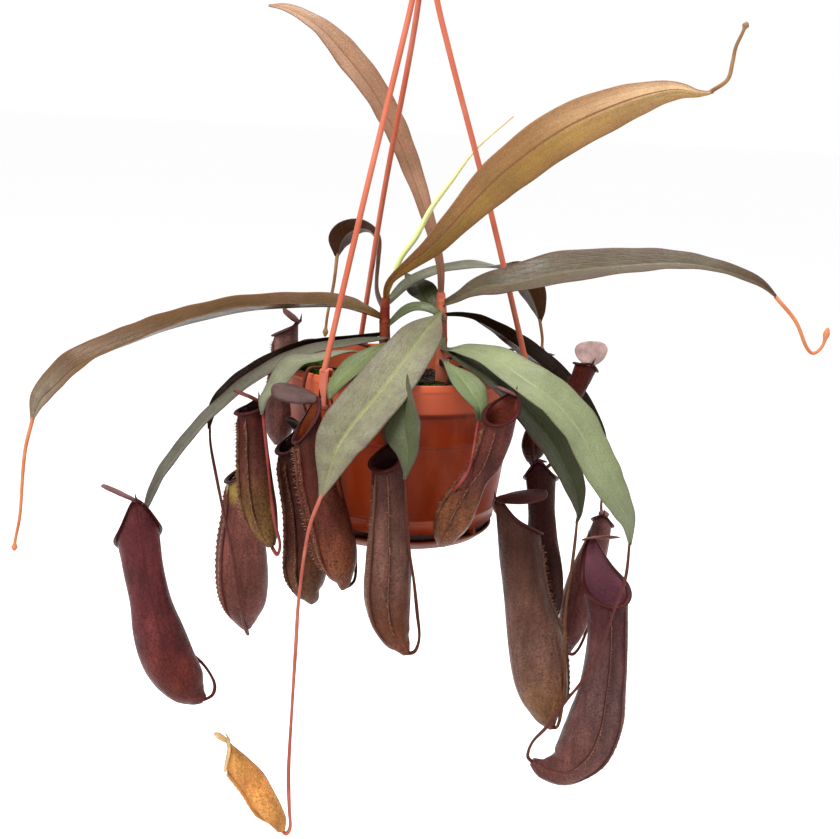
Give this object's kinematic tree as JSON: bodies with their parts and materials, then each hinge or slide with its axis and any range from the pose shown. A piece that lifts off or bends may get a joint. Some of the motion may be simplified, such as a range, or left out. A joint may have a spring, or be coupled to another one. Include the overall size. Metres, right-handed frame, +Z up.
{
  "type": "hanging pitcher plant",
  "caption": "Pitcher plant with long leaves and dark hanging pitchers in a terracotta-coloured plastic pot, held by a three-rod plastic hanger with a hook",
  "frame": {"origin": "the point inside the top of the hook where it bears on its support, on the axis of the pot", "axes": "+Z up along the pot's axis, +X to the right and +Y away from the viewer of the picture"},
  "size_m": [0.4953, 0.2145, 0.554],
  "materials": {
    "terracotta": "terracotta-coloured moulded plastic, satin",
    "soil": "dark damp bark and fibre mix",
    "moss": "living moss, soft and dull",
    "stem": "smooth red-orange plant stem",
    "copper": "young copper-coloured leaf, satin",
    "green": "green leaf with a pale midrib, satin",
    "brown": "dark underside of an old leaf, satin",
    "spear": "rolled pale new leaf, satin",
    "maroon": "dark maroon pitcher, satin with fine speckles",
    "amber": "young yellow-orange pitcher, satin",
    "pink": "thin pinkish tendril, satin"
  },
  "bodies": {
    "root": {"pot": "terracotta", "saucer": "terracotta", "hanger_hook": "terracotta", "hanger_rod_right": "terracotta", "hanger_rod_back": "terracotta", "hanger_rod_front": "terracotta", "soil": "soil", "moss": "moss", "stem_left": "stem", "stem_right": "stem", "leaf_top_left": "copper", "leaf_top_right": "copper", "leaf_right": "green", "leaf_back_right": "green", "leaf_small_back": "green", "leaf_small_centre": "green", "leaf_long_brown": "brown", "leaf_long_left": "green", "leaf_big_front_right": "green", "leaf_under_front_right": "green", "leaf_small_front": "green", "leaf_wide_front": "green", "leaf_under_wide_left": "green", "leaf_under_wide_right": "green", "leaf_left_green": "green", "leaf_left_brown": "brown", "leaf_small_left": "green", "leaf_back_left": "brown", "leaf_new_spear": "spear", "pitcher_far_left": "maroon", "pitcher_left_low": "maroon", "pitcher_left_tall": "maroon", "pitcher_left_front": "maroon", "pitcher_left_mid": "maroon", "pitcher_centre": "maroon", "pitcher_front_right": "maroon", "pitcher_right_big": "maroon", "pitcher_right_behind": "maroon", "pitcher_far_right": "maroon", "pitcher_far_right_back": "maroon", "pitcher_upper_right": "maroon", "pitcher_upper_right_back": "maroon", "pitcher_upper_left": "maroon", "pitcher_young": "amber", "tendril_top_right": "pink", "tendril_right": "pink", "tendril_back_right": "pink", "tendril_left": "pink", "tendril_back_left": "pink"}
  },
  "joints": []
}
